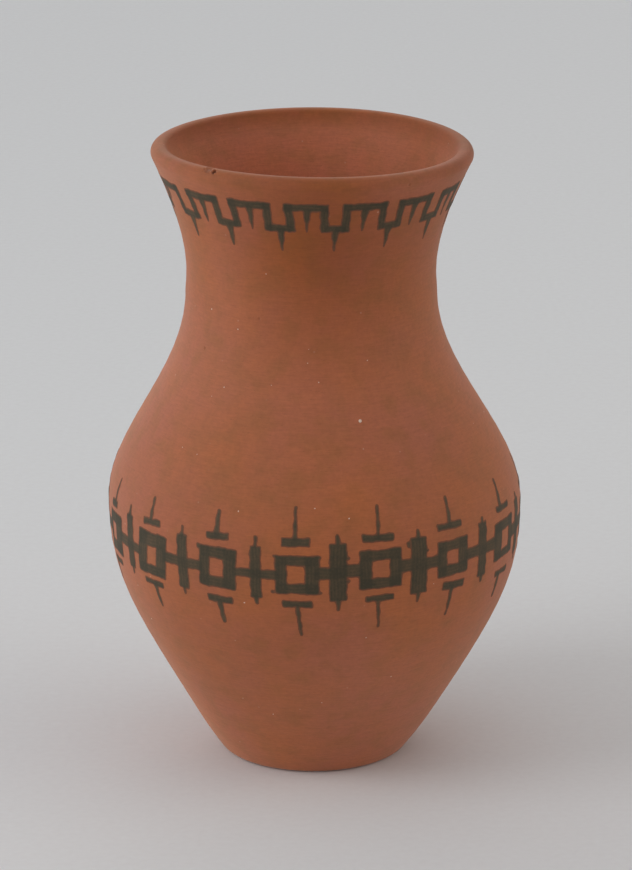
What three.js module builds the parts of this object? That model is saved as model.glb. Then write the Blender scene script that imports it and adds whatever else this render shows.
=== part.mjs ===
// A hand-thrown earthenware vessel: a round belly that narrows to a neck and flares to a rolled lip.
// Two bands of dark slip are brushed on it, a meander under the lip and a chain of squares at the belly.
// Millimetres, +Z up, origin at the centre of the foot. Angles run round the axis from -Y towards +X.
import * as THREE from "three";

// Heights of the three stretches of the wall, which add up to the whole height
const footToBelly = 97;
const bellyToNeck = 78;
const neckToLip = 55;

// Outer radii, each where the wall stands upright there, or where its end would be sharp
const footRadius = 35.1;
const bellyRadius = 75.5;
const neckRadius = 45.5;
const mouthRadius = 58.4;

// Thickness of the clay, which thins steadily from the foot up to the lip
const floorThickness = 10;
const footWallThickness = 10.5;
const lipThickness = 6;

// Rounding of the foot's edge outside, and of the corner where the floor meets the wall inside
const footRounding = 3.5;
const floorCorner = 14;

// How far the wall leans out from upright, in degrees, where it leaves the foot and where it meets the lip
const footLean = 30.5;
const lipFlare = 26;

// How full the curves are: the reach of each curve's handle as a share of its stretch of height
const footFullness = 0.69;
const underBellyFullness = 0.32;
const overBellyFullness = 0.3;
const underNeckFullness = 0.39;
const overNeckFullness = 0.12;
const lipFullness = 0.73;

// Facets: steps round the axis and along each stretch of the wall, whose inner face has every second one
const stepsRound = 64;
const lowerSteps = 8;
const shoulderSteps = 12;
const collarSteps = 8;
const roundingSteps = 3;
const lipOuterSteps = 4;
const lipInnerSteps = 3;

// The layer of slip, and how far it is held off the clay
const slipThickness = 0.25;
const slipClearance = 0.2;

// Figures in each band, and the angle of one of them in each band
const figureCount = 16;
const chainPhase = -4.5;
const meanderPhase = -2.1;

// Chain of squares and crosses, with its middle line this far below the widest height
const chainDrop = 5;
const squareWidth = 11.8;
const squareHeight = 14.3;
const windowWidth = 4.7;
const windowHeight = 6.6;
const linkHeight = 4.2;
const crossWidth = 4.2;
const crossHeight = 21;
const crossTipWidth = 1.2;
const crossTipEndWidth = 0.8;
const crossTipLength = 3.2;

// Tees above and below each square: a bar at this distance from the square, and a stem
const teeDistance = 3.5;
const teeBarWidth = 8.2;
const teeBarHeight = 2.5;
const teeStemLength = 9.1;
const teeStemWidth = 1.2;
const teeStemEndWidth = 0.8;

// Meander under the lip, with its upper edge this far below the top
const meanderDrop = 10;
const meanderHeight = 11;
const meanderBarHeight = 2.7;
const uprightWidth = 3.2;
const notchWidth = 5.5;
const innerSpikeWidth = 1.8;
const innerSpikeEndWidth = 0.7;
const outerSpikeWidth = 3;
const outerSpikeEndWidth = 0.9;
const outerSpikeLength = 7.5;

// Values that follow from the sizes above
const height = footToBelly + bellyToNeck + neckToLip;
const neckHeight = footToBelly + bellyToNeck;
const lipRadius = lipThickness / 2;
const pitch = 360 / figureCount;
const chainHeight = footToBelly - chainDrop;
const meanderTop = height - meanderDrop;

const clayMaterial = new THREE.MeshStandardMaterial({ color: 0xa8694a, roughness: 0.92, metalness: 0 });
const slipMaterial = new THREE.MeshStandardMaterial({ color: 0x3f3a2f, roughness: 0.85, metalness: 0 });

function radians(degrees) {
  return THREE.MathUtils.degToRad(degrees);
}

// Outer wall, as radius and height: three curves that are upright where they meet at the belly and neck
function makeWallCurves() {
  const footTangent = new THREE.Vector2(Math.sin(radians(footLean)), Math.cos(radians(footLean)));
  const lipTangent = new THREE.Vector2(Math.sin(radians(lipFlare)), Math.cos(radians(lipFlare)));
  const foot = footTangent.clone().multiplyScalar(roundingReach()).add(new THREE.Vector2(footRadius, 0));
  const belly = new THREE.Vector2(bellyRadius, footToBelly);
  const neck = new THREE.Vector2(neckRadius, neckHeight);
  const lip = lipCentre().add(new THREE.Vector2(lipTangent.y, -lipTangent.x).multiplyScalar(lipRadius));

  const lower = new THREE.CubicBezierCurve(
    foot,
    foot.clone().addScaledVector(footTangent, footFullness * (belly.y - foot.y)),
    new THREE.Vector2(belly.x, belly.y - underBellyFullness * (belly.y - foot.y)),
    belly,
  );
  const shoulder = new THREE.CubicBezierCurve(
    belly,
    new THREE.Vector2(belly.x, belly.y + overBellyFullness * bellyToNeck),
    new THREE.Vector2(neck.x, neck.y - underNeckFullness * bellyToNeck),
    neck,
  );
  const collar = new THREE.CubicBezierCurve(
    neck,
    new THREE.Vector2(neck.x, neck.y + overNeckFullness * (lip.y - neck.y)),
    lip.clone().addScaledVector(lipTangent, -lipFullness * (lip.y - neck.y)),
    lip,
  );
  return [
    { curve: lower, steps: lowerSteps },
    { curve: shoulder, steps: shoulderSteps },
    { curve: collar, steps: collarSteps },
  ];
}

// Length along the floor, and along the wall, that the rounding of the foot's edge takes
function roundingReach() {
  return footRounding * Math.tan(radians(90 - footLean) / 2);
}

function lipCentre() {
  return new THREE.Vector2(mouthRadius - lipRadius, height - lipRadius);
}

// A wall curve's point at a parameter, moved along the wall's normal: outwards where offset is positive
function offsetPoint(curve, parameter, offset) {
  const tangent = curve.getTangent(parameter);
  const normal = new THREE.Vector2(tangent.y, -tangent.x);
  return curve.getPoint(parameter).addScaledVector(normal, offset);
}

// The wall's points from the foot to the lip, at a distance from its outer face that the level sets
function wallPoints(offsetAt, stride) {
  const points = [];
  for (const { curve, steps } of makeWallCurves()) {
    for (let step = 0; step <= steps; step += stride) {
      if (step === 0 && points.length > 0) continue;
      const level = curve.getPoint(step / steps).y;
      points.push(offsetPoint(curve, step / steps, offsetAt(level)));
    }
  }
  return points;
}

// Thickness of the wall at a level of its outer face
function thicknessAt(level) {
  const lipLevel = makeWallCurves().at(-1).curve.v3.y;
  return THREE.MathUtils.lerp(footWallThickness, lipThickness, level / lipLevel);
}

// Points of an arc, without its first one
function arcPoints(centre, radius, start, end, steps) {
  const points = [];
  for (let step = 1; step <= steps; step += 1) {
    const angle = start + ((end - start) * step) / steps;
    points.push(new THREE.Vector2(Math.cos(angle), Math.sin(angle)).multiplyScalar(radius).add(centre));
  }
  return points;
}

// Profile of the clay: under the foot, up the outside, over the lip, down the inside and across the floor
function bodyProfile() {
  const flatRadius = footRadius - roundingReach();
  const roundingCentre = new THREE.Vector2(flatRadius, footRounding);
  const flare = radians(lipFlare);
  const outside = wallPoints(() => 0, 1);
  const innerFace = wallPoints((level) => -thicknessAt(level), 2);
  const inside = innerFace.filter((point) => point.y > floorThickness + floorCorner);
  const cornerTop = inside[0];
  const cornerFoot = new THREE.Vector2(cornerTop.x - floorCorner, floorThickness);
  const cornerHandle = new THREE.Vector2(cornerTop.x - floorCorner / 2, floorThickness);
  const corner = new THREE.QuadraticBezierCurve(cornerTop, cornerHandle, cornerFoot);
  return [
    new THREE.Vector2(0, 0),
    new THREE.Vector2(flatRadius, 0),
    ...arcPoints(roundingCentre, footRounding, -Math.PI / 2, -radians(footLean), roundingSteps).slice(0, -1),
    ...outside,
    ...arcPoints(lipCentre(), lipRadius, -flare, Math.PI / 2, lipOuterSteps),
    ...arcPoints(lipCentre(), lipRadius, Math.PI / 2, Math.PI - flare, lipInnerSteps).slice(0, -1),
    ...inside.reverse(),
    ...corner.getPoints(roundingSteps).slice(1),
    new THREE.Vector2(0, floorThickness),
  ];
}

function makeBody() {
  const geometry = new THREE.LatheGeometry(bodyProfile(), stepsRound);
  geometry.rotateX(Math.PI / 2);
  const body = new THREE.Mesh(geometry, clayMaterial);
  body.name = "clay_body";
  return body;
}

// The wall at a height: the curve that passes there and its parameter, found by halving
function wallAt(level) {
  const curves = makeWallCurves().map((stretch) => stretch.curve);
  const curve = curves.find((candidate) => level <= candidate.v3.y);
  const tolerance = 1e-9;
  let low = 0;
  let high = 1;
  while (high - low > tolerance) {
    const middle = (low + high) / 2;
    if (curve.getPoint(middle).y < level) low = middle;
    else high = middle;
  }
  return { curve, parameter: low };
}

// A point on the wall, at an angle in degrees and a level, moved out from the wall's face
function pointOnWall(angle, level, offset) {
  const { curve, parameter } = wallAt(level);
  const point = offsetPoint(curve, parameter, offset);
  const turn = radians(angle);
  return [point.x * Math.sin(turn), -point.x * Math.cos(turn), point.y];
}

// A layer of slip from four-sided patches, whose corners are angle and level, anticlockwise from outside.
// It has an outer and an inner face, and a side wall along each edge that no second patch shares.
function slipGeometry(patches) {
  const corners = new Map();
  const positions = [];
  const triangles = [];
  const edges = new Set();
  const finestStep = 1e-4; // corners closer than this, in degrees or millimetres, are one

  function cornerIndex([angle, level]) {
    const turned = THREE.MathUtils.euclideanModulo(Math.round(angle / finestStep), 360 / finestStep);
    const key = `${turned} ${Math.round(level / finestStep)}`;
    if (!corners.has(key)) {
      corners.set(key, positions.length / 3);
      positions.push(...pointOnWall(angle, level, slipClearance + slipThickness));
      positions.push(...pointOnWall(angle, level, slipClearance));
    }
    return corners.get(key);
  }

  function addFace(a, b, c, d) {
    triangles.push(a, b, c, a, c, d);
  }

  for (const patch of patches) {
    const [a, b, c, d] = patch.map(cornerIndex);
    addFace(a, b, c, d);
    addFace(d + 1, c + 1, b + 1, a + 1);
    for (const edge of [[a, b], [b, c], [c, d], [d, a]]) edges.add(edge.join(" "));
  }
  for (const edge of edges) {
    const [from, to] = edge.split(" ").map(Number);
    if (!edges.has(`${to} ${from}`)) addFace(to, from, from + 1, to + 1);
  }

  const geometry = new THREE.BufferGeometry();
  geometry.setAttribute("position", new THREE.Float32BufferAttribute(positions, 3));
  geometry.setIndex(triangles);
  geometry.computeVertexNormals();
  return geometry;
}

// Patches of a stencil: widths from left to right, heights from the top down, and # where slip is brushed
function stencilPatches(left, top, widths, heights, stencil) {
  const patches = [];
  let level = top;
  stencil.forEach((row, rowIndex) => {
    const below = level - heights[rowIndex];
    let angle = left;
    widths.forEach((width, column) => {
      const right = angle + width;
      if (row[column] === "#") patches.push([[angle, below], [right, below], [right, level], [angle, level]]);
      angle = right;
    });
    level = below;
  });
  return patches;
}

// Patches of a brush stroke that tapers from a start level to an end level, in a few steps
function strokePatches(angle, startLevel, endLevel, startWidth, endWidth, steps) {
  const patches = [];
  for (let step = 0; step < steps; step += 1) {
    const rungs = [step / steps, (step + 1) / steps].map((share) => ({
      level: THREE.MathUtils.lerp(startLevel, endLevel, share),
      half: THREE.MathUtils.lerp(startWidth, endWidth, share) / 2,
    }));
    const [lower, upper] = rungs.sort((a, b) => a.level - b.level);
    patches.push([
      [angle - lower.half, lower.level],
      [angle + lower.half, lower.level],
      [angle + upper.half, upper.level],
      [angle - upper.half, upper.level],
    ]);
  }
  return patches;
}

// One square with its window, its links and the cross to its right, where angle is the square's middle
function chainPatches(angle) {
  const squareWall = (squareWidth - windowWidth) / 2;
  const link = (pitch - squareWidth - crossWidth) / 2;
  const crossSide = (crossWidth - crossTipWidth) / 2;
  const widths = [squareWall, windowWidth, squareWall, link, crossSide, crossTipWidth, crossSide, link];
  const crossEnd = (crossHeight - squareHeight) / 2;
  const squareBar = (squareHeight - windowHeight) / 2;
  const windowEnd = (windowHeight - linkHeight) / 2;
  const heights = [crossEnd, squareBar, windowEnd, linkHeight, windowEnd, squareBar, crossEnd];
  const stencil = [
    "....###.",
    "###.###.",
    "#.#.###.",
    "#.######",
    "#.#.###.",
    "###.###.",
    "....###.",
  ];
  const crossAngle = angle + pitch / 2;
  const crossTop = chainHeight + crossHeight / 2;
  const crossFoot = chainHeight - crossHeight / 2;
  return [
    ...stencilPatches(angle - squareWidth / 2, crossTop, widths, heights, stencil),
    ...strokePatches(crossAngle, crossTop, crossTop + crossTipLength, crossTipWidth, crossTipEndWidth, 1),
    ...strokePatches(crossAngle, crossFoot, crossFoot - crossTipLength, crossTipWidth, crossTipEndWidth, 1),
  ];
}

// One hooked figure of the meander and the trough to its right, where angle is the figure's middle
function meanderPatches(angle) {
  const barWidth = pitch - notchWidth;
  const gap = (barWidth - innerSpikeWidth) / 2 - uprightWidth;
  const notchSide = (notchWidth - outerSpikeWidth) / 2;
  const widths = [
    uprightWidth, gap, innerSpikeWidth, gap, uprightWidth, notchSide, outerSpikeWidth, notchSide,
  ];
  const heights = [meanderBarHeight, meanderHeight - 2 * meanderBarHeight, meanderBarHeight];
  const stencil = [
    "#####...",
    "#...#...",
    "#...####",
  ];
  const bottom = meanderTop - meanderHeight;
  const spikeTop = meanderTop - meanderBarHeight;
  const spikeAngle = angle + pitch / 2;
  return [
    ...stencilPatches(angle - barWidth / 2, meanderTop, widths, heights, stencil),
    ...strokePatches(angle, spikeTop, bottom, innerSpikeWidth, innerSpikeEndWidth, 2),
    ...strokePatches(spikeAngle, bottom, bottom - outerSpikeLength, outerSpikeWidth, outerSpikeEndWidth, 2),
  ];
}

// A tee beside the square at angle 0: way is 1 above the square and -1 below it
function teePatches(way) {
  const near = chainHeight + way * (squareHeight / 2 + teeDistance);
  const far = near + way * teeBarHeight;
  const side = (teeBarWidth - teeStemWidth) / 2;
  const widths = [side, teeStemWidth, side];
  return [
    ...stencilPatches(-teeBarWidth / 2, Math.max(near, far), widths, [teeBarHeight], ["###"]),
    ...strokePatches(0, far, far + way * teeStemLength, teeStemWidth, teeStemEndWidth, 3),
  ];
}

// A band that runs round the vessel in one unbroken piece, from the patches of each of its figures
function makeBand(name, phase, figurePatches) {
  const patches = [];
  for (let figure = 0; figure < figureCount; figure += 1) {
    patches.push(...figurePatches(phase + figure * pitch));
  }
  const band = new THREE.Mesh(slipGeometry(patches), slipMaterial);
  band.name = name;
  return band;
}

// A ring of equal tees, one at each square
function makeTees(name, way) {
  const tees = new THREE.Group();
  const geometry = slipGeometry(teePatches(way));
  for (let figure = 0; figure < figureCount; figure += 1) {
    const tee = new THREE.Mesh(geometry, slipMaterial);
    tee.name = `${name}_${String(figure + 1).padStart(2, "0")}`;
    tee.rotation.z = radians(chainPhase + figure * pitch);
    tees.add(tee);
  }
  return tees;
}

const vessel = new THREE.Group();
vessel.add(makeBody());
vessel.add(makeBand("rim_meander", meanderPhase, meanderPatches));
vessel.add(makeBand("belly_chain", chainPhase, chainPatches));
vessel.add(makeTees("upper_tee", 1));
vessel.add(makeTees("lower_tee", -1));

export default vessel;
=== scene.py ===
import math
import random

import bpy
import numpy as np
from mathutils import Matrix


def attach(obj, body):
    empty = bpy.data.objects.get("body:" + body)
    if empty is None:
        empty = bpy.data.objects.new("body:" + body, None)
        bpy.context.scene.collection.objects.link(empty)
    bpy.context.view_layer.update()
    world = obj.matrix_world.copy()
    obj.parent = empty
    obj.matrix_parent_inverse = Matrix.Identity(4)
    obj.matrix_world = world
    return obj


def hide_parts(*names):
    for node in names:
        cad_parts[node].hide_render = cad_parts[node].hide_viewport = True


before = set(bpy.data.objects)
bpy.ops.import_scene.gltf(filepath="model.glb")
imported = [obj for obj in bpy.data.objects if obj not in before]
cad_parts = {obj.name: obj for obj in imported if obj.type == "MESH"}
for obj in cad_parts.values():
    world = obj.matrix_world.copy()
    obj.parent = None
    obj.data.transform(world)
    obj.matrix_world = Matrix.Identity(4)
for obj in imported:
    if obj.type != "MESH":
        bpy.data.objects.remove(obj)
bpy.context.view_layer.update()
mm = 0.001
weldReach = 0.01 * mm  # points closer than this become one


def srgb(hexText):  # a written colour as the linear one that a shader takes
    parts = [int(hexText[i : i + 2], 16) / 255 for i in (1, 3, 5)]
    return tuple(c / 12.92 if c <= 0.04045 else ((c + 0.055) / 1.055) ** 2.4 for c in parts) + (1.0,)


def featureScale(size):  # the scale of a noise whose features are this many millimetres across
    return 1 / (size * mm)


def addNode(tree, kind, settings=None):
    # settings name properties or input sockets, and a socket takes a value or the output of another node
    node = tree.nodes.new(kind)
    for key, value in (settings or {}).items():
        if isinstance(value, bpy.types.NodeSocket):
            tree.links.new(value, node.inputs[key])
        elif isinstance(key, str) and hasattr(node, key):
            setattr(node, key, value)
        else:
            node.inputs[key].default_value = value
    return node


def addNoise(tree, place, size, detail=2.0, roughness=0.5):
    settings = {"Scale": featureScale(size), "Detail": detail, "Roughness": roughness, "Vector": place}
    return addNode(tree, "ShaderNodeTexNoise", settings).outputs["Fac"]


def mapRange(tree, value, low, high, least=0.0, most=1.0, way="LINEAR"):
    settings = {"From Min": low, "From Max": high, "To Min": least, "To Max": most, "Value": value}
    return addNode(tree, "ShaderNodeMapRange", {"interpolation_type": way} | settings).outputs["Result"]


def mixColours(tree, share, under, over):  # each is a written colour or the output of a node
    under, over = (srgb(colour) if isinstance(colour, str) else colour for colour in (under, over))
    return addNode(tree, "ShaderNodeMix", {"data_type": "RGBA", 0: share, 6: under, 7: over}).outputs[2]


def calculate(tree, operation, *terms, clamp=False):
    settings = {"operation": operation, "use_clamp": clamp} | dict(enumerate(terms))
    return addNode(tree, "ShaderNodeMath", settings).outputs["Value"]


def addBump(tree, values, height, under=None):  # relief of this height, on top of another one where that is given
    settings = {"Distance": height * mm, "Height": values} | ({"Normal": under} if under else {})
    return addNode(tree, "ShaderNodeBump", settings).outputs["Normal"]


def readMark(tree, name):  # what the points of a mesh carry under this name
    return addNode(tree, "ShaderNodeAttribute", {"attribute_name": name}).outputs["Fac"]


def newMaterial(name):
    material = bpy.data.materials.new(name)
    material.use_nodes = True
    tree = material.node_tree
    tree.nodes.clear()
    return material, tree, addNode(tree, "ShaderNodeTexCoord").outputs["Object"]


def finishMaterial(tree, look, settings):
    matte = {"Roughness": look["roughness"], "Specular IOR Level": look["specular"]}
    shader = addNode(tree, "ShaderNodeBsdfPrincipled", matte | settings)
    addNode(tree, "ShaderNodeOutputMaterial", {"Surface": shader.outputs["BSDF"]})


def deselectAll():
    if bpy.context.object and bpy.context.object.mode != "OBJECT":
        bpy.ops.object.mode_set(mode="OBJECT")
    bpy.ops.object.select_all(action="DESELECT")


def makeActive(piece):
    deselectAll()
    piece.select_set(True)
    bpy.context.view_layer.objects.active = piece


def selectPoints(piece, chosen):  # leaves the piece in edit mode, with the faces between these points selected
    makeActive(piece)
    bpy.ops.object.mode_set(mode="EDIT")
    bpy.ops.mesh.select_mode(type="VERT")
    bpy.ops.mesh.select_all(action="DESELECT")
    bpy.ops.object.mode_set(mode="OBJECT")
    piece.data.vertices.foreach_set("select", chosen)
    bpy.ops.object.mode_set(mode="EDIT")


def readPoints(piece):
    points = np.empty(len(piece.data.vertices) * 3)
    piece.data.vertices.foreach_get("co", points)
    return points.reshape(-1, 3)


def writePoints(piece, points):
    piece.data.vertices.foreach_set("co", np.ascontiguousarray(points, dtype=float).ravel())
    piece.data.update()


def writeAttribute(piece, name, values):
    attribute = piece.data.attributes.get(name) or piece.data.attributes.new(name, "FLOAT", "POINT")
    attribute.data.foreach_set("value", np.ascontiguousarray(values, dtype=np.float32))


def smoothStep(low, high, values):
    share = np.clip((values - low) / (high - low), 0, 1)
    return share * share * (3 - 2 * share)


# The shape that the wheel gives, with the same curves as the solids
pot = {
    "footToBelly": 97, "bellyToNeck": 78, "neckToLip": 55,
    "footRadius": 35.1, "bellyRadius": 75.5, "neckRadius": 45.5, "mouthRadius": 58.4,
    "floorThickness": 10, "footWallThickness": 10.5, "lipThickness": 6,
    "footRounding": 3.5, "footLean": 30.5, "lipFlare": 26, "floorCorner": 14,
    "fullness": (0.69, 0.32, 0.30, 0.39, 0.12, 0.73),  # of the three curves' handles, from the foot up
    "footTuck": 1.4, "footTuckLevel": 15.8,  # how far the wet sponge drew the foot's edge in, and below which level
    "lipEdge": 3.0,  # squareness of the lip's inner edge, where 2 is round
    "stepsRound": 256, "wallStep": 1.9, "innerStep": 2.185, "floorStep": 3.0,
    "curveSteps": 400, "lipSteps": 22, "roundingSteps": 7, "cornerSteps": 20,
}


def bezier(handles, count):
    share = np.linspace(0, 1, count)[:, None]
    a, b, c, d = (np.array(h, float) for h in handles)
    return (1 - share) ** 3 * a + 3 * share * (1 - share) ** 2 * b + 3 * share**2 * (1 - share) * c + share**3 * d


def outerCurve():  # radius and level of the outer face, from the foot's rounding to the lip's
    foot, lip = math.radians(pot["footLean"]), math.radians(pot["lipFlare"])
    footWay = np.array([math.sin(foot), math.cos(foot)])
    lipWay = np.array([math.sin(lip), math.cos(lip)])
    start = footWay * footReach + (pot["footRadius"], 0)
    belly = np.array([pot["bellyRadius"], pot["footToBelly"]], float)
    neck = np.array([pot["neckRadius"], pot["footToBelly"] + pot["bellyToNeck"]], float)
    end = np.array(lipCentre) + lipRadius * np.array([lipWay[1], -lipWay[0]])
    lower, shoulder, collar = belly[1] - start[1], neck[1] - belly[1], end[1] - neck[1]
    k = pot["fullness"]
    stretches = (
        (start, start + footWay * k[0] * lower, belly - (0, k[1] * lower), belly),
        (belly, belly + (0, k[2] * shoulder), neck - (0, k[3] * shoulder), neck),
        (neck, neck + (0, k[4] * collar), end - lipWay * k[5] * collar, end),
    )
    points = np.concatenate([bezier(s, pot["curveSteps"])[1:] for s in stretches])
    points[:, 0] -= pot["footTuck"] * np.clip(1 - points[:, 1] / pot["footTuckLevel"], 0, 1) ** 2
    return points


potHeight = pot["footToBelly"] + pot["bellyToNeck"] + pot["neckToLip"]
lipRadius = pot["lipThickness"] / 2
lipCentre = (pot["mouthRadius"] - lipRadius, potHeight - lipRadius)
footReach = pot["footRounding"] * math.tan(math.radians(90 - pot["footLean"]) / 2)
outerFace = outerCurve()
outerWays = np.gradient(outerFace, axis=0)
outerWays /= np.linalg.norm(outerWays, axis=1)[:, None]


def faceAt(level, lift):  # radius and level of a point on the outer face, moved out from it by lift
    radius, wayOut, wayUp = (np.interp(level, outerFace[:, 1], v) for v in (outerFace[:, 0], *outerWays.T))
    return radius + wayUp * lift, level - wayOut * lift


def wheelPoints(angle, level, lift):  # places on the outer face, before the hands
    radius, height = faceAt(level, lift)
    turn = np.radians(angle)
    return np.stack([radius * np.sin(turn), -radius * np.cos(turn), height], -1) * mm


# What the hands left: the axis leans and wanders, the rim dips and is a little oval, the wall wavers in faint rings
hands = {
    "drift": (-1.877, -1.358, 3.834),  # how far the axis leans, bows and bends both ways
    "leanBack": 3.0, "ovalRim": 1.5, "bendsFrom": 120,  # the mouth's, which grow from this level up
    "rimDip": (-0.511, -0.192, -0.359, 0.265),  # tilt and sag of the rim, by the first two waves round it
    # waves of the wall as (how many go round, start, rise per radian, share)
    "waver": 0.07, "waves": ((2, 0.4, 37, 1.0), (3, 2.1, -29, 0.7), (5, 1.3, 18, 0.5), (9, 0.2, -11, 0.35)),
    "ring": 0.03, "innerRing": 0.2, "ringPitch": 6.3, "ringSway": (0.8, 17), "innerRingsEnd": (170, 205),
    "calmFoot": (1, 12), "calmLip": (214, 224), "calmAxis": (5, 25),  # levels and radii where the wavering fades
    "fuller": ((158, 46, 0.42), (95, 32, 0.18)),  # shoulder and belly swell a little: level, reach and how far
}


def sidewaysDrift(level):  # the numbers taken off keep lean, bow and bend apart
    share = level / potHeight - 0.5
    a, b, c = hands["drift"]
    return a * share + b * (share**2 - 0.08) + c * (share**3 - 0.15 * share) * 4


def rimDip(turn):
    a, b, c, d = hands["rimDip"]
    return a * np.cos(turn) + b * np.sin(turn) + c * np.cos(2 * turn) + d * np.sin(2 * turn)


highestRim = rimDip(np.linspace(0, 2 * math.pi, 721)).max()


def handThrown(points):  # moves points of the wheel's shape to where the hands left them
    x, y, z = (points / mm).T
    turn = np.arctan2(y, x)
    radius = np.hypot(x, y)
    waver = sum(share * np.sin(count * turn + start + z / rise) for count, start, rise, share in hands["waves"])
    sway, swayRise = hands["ringSway"]
    ring = np.sin(2 * math.pi * z / hands["ringPitch"] + turn + sway * np.sin(z / swayRise))
    inside = radius < np.interp(z, outerFace[:, 1], outerFace[:, 0]) - lipRadius
    ring *= np.where(inside, hands["innerRing"] * (1 - smoothStep(*hands["innerRingsEnd"], z)), hands["ring"])
    calm = smoothStep(*hands["calmFoot"], z) * (1 - smoothStep(*hands["calmLip"], z))
    calm *= smoothStep(*hands["calmAxis"], radius)
    swell = sum(most * np.exp(-(((z - level) / reach) ** 2)) for level, reach, most in hands["fuller"])
    radius = radius + (hands["waver"] * waver + ring + swell) * calm
    bend = np.clip((z - hands["bendsFrom"]) / (potHeight - hands["bendsFrom"]), 0, 1) ** 2
    x = radius * np.cos(turn) + sidewaysDrift(z) - sidewaysDrift(pot["footToBelly"])
    y = (radius - bend * hands["ovalRim"]) * np.sin(turn) + bend * hands["leanBack"]
    z = z + bend * (rimDip(turn) - highestRim)
    return np.stack([x, y, z], -1) * mm


# Unglazed terracotta, thrown and wiped smooth: dry and matte, cloudy from the kiln, with a fine sandy grain
clayLook = {
    "warm": "#b4683c", "pink": "#b06647", "olive": "#a06237", "pale": "#d8b8a2", "dark": "#5e3423",
    "cloud": 40, "patch": 8, "wipe": 5,  # millimetres across, for the kiln's clouds and the sponge's wiping
    "fleck": 1.5,  # the sand's grain is about 0.3 mm and is drawn coarser, so that it shows
    "lime": 4.5, "grit": 3.4,  # millimetres between the specks
    "oliveShare": 0.7, "limeShare": 0.5, "gritShare": 0.35,  # how strong each is at most
    # the span of each pattern that goes from none to all of it
    "cloudSpan": (0.35, 0.65), "patchSpan": (0.45, 0.75), "grainSpan": (0.7, 1.3), "toneAndShadeSpan": (0.8, 1.2),
    "limeDot": (0.05, 0.1), "limeChosen": (0.7, 1.0), "gritDot": (0.08, 0.16),
    "tone": (0.91, 1.09), "saturation": (1.07, 0.97),  # from dark to pale: darker clay, also where shade is painted, is redder too
    "roughness": 0.75, "specular": 0.45, "grainHeight": 0.05, "wipeHeight": 0.05, "diffuseRoughness": 0.7,
    "dust": "#fbe9dc", "dusty": 0.2,  # fine clay dust, which pales the wall where it turns away
}


def makeTerracotta():
    look = clayLook
    material, tree, place = newMaterial("unglazedTerracotta")
    cloud = mapRange(tree, addNoise(tree, place, look["cloud"], 3.0), *look["cloudSpan"])
    clouded = mixColours(tree, cloud, look["warm"], look["pink"])
    patch = addNoise(tree, place, look["patch"], 4.0)
    patch = mapRange(tree, patch, *look["patchSpan"], 0.0, look["oliveShare"])
    patched = mixColours(tree, patch, clouded, look["olive"])

    # wiped lines run round the pot, so their noise is squeezed along the axis
    squeezed = addNode(tree, "ShaderNodeMapping", {"Scale": (1, 1, 9), "Vector": place}).outputs["Vector"]
    wipe = addNoise(tree, squeezed, look["wipe"], 3.0)
    fleck = addNoise(tree, place, look["fleck"], 3.0, 0.65)
    grain = mapRange(tree, calculate(tree, "ADD", fleck, wipe), *look["grainSpan"], *look["tone"])
    # the points' tone, which holds painted light and shade as well as the kiln's clouds
    toneAndShade = readMark(tree, "toneAndShade")
    tone = calculate(tree, "MULTIPLY", grain, toneAndShade)
    strength = mapRange(tree, toneAndShade, *look["toneAndShadeSpan"], *look["saturation"])
    redder = addNode(tree, "ShaderNodeHueSaturation", {"Color": patched, "Saturation": strength}).outputs["Color"]
    toned = addNode(tree, "ShaderNodeVectorMath", {"operation": "SCALE", 0: redder, "Scale": tone}).outputs["Vector"]

    # lime specks and dark grit: a small dot in the middle of a few cells
    lime = addNode(tree, "ShaderNodeTexVoronoi", {"Scale": featureScale(look["lime"]), "Vector": place}).outputs
    limeDot = mapRange(tree, lime["Distance"], *look["limeDot"], 1.0, 0.0)
    limeChosen = mapRange(tree, lime["Color"], *look["limeChosen"], 0.0, look["limeShare"])
    limed = mixColours(tree, calculate(tree, "MULTIPLY", limeDot, limeChosen), toned, look["pale"])
    grit = addNode(tree, "ShaderNodeTexVoronoi", {"Scale": featureScale(look["grit"]), "Vector": squeezed}).outputs
    gritDot = mapRange(tree, grit["Distance"], *look["gritDot"], look["gritShare"], 0.0)
    gritty = mixColours(tree, gritDot, limed, look["dark"])
    # painted shade in the chips and pits, darker where they are deeper
    shadedHollows = mixColours(tree, readMark(tree, "hollow"), gritty, look["dark"])

    relief = addBump(tree, wipe, look["wipeHeight"], addBump(tree, fleck, look["grainHeight"]))
    finishMaterial(tree, look, {
        "Base Color": shadedHollows, "Normal": relief, "Diffuse Roughness": look["diffuseRoughness"],
        "Sheen Weight": look["dusty"], "Sheen Tint": srgb(look["dust"]),
    })
    return material


# Burnt lime that came up through the clay: matte chalky crumbs, tinged by the clay round them
limeLook = {"chalk": "#eddccd", "stained": "#c9a48d", "crumb": 0.3, "roughness": 0.9, "specular": 0.5}


def makeLime():
    material, tree, place = newMaterial("burntLime")
    tone = mixColours(tree, addNoise(tree, place, limeLook["crumb"]), limeLook["stained"], limeLook["chalk"])
    finishMaterial(tree, limeLook, {"Base Color": tone})
    return material


# Iron and manganese slip, brushed on leather-hard clay and fired: matte greenish black, brown where the brush ran dry
slipLook = {
    "full": "#3d3829", "thin": "#624e37", "bare": "#7c4a33",
    "edge": 0.75,  # how far in from its edge slip is thin
    "uneven": 0.35, "unevenSpan": (0.6, 1.4),  # how much its cover varies, and over which span of the pattern
    "cloud": 5, "brushLine": 0.8,  # bristle lines are about 0.3 mm apart and are drawn coarser, so that they show
    "roughness": 0.7, "specular": 0.35, "lineHeight": 0.03,
}


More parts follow.
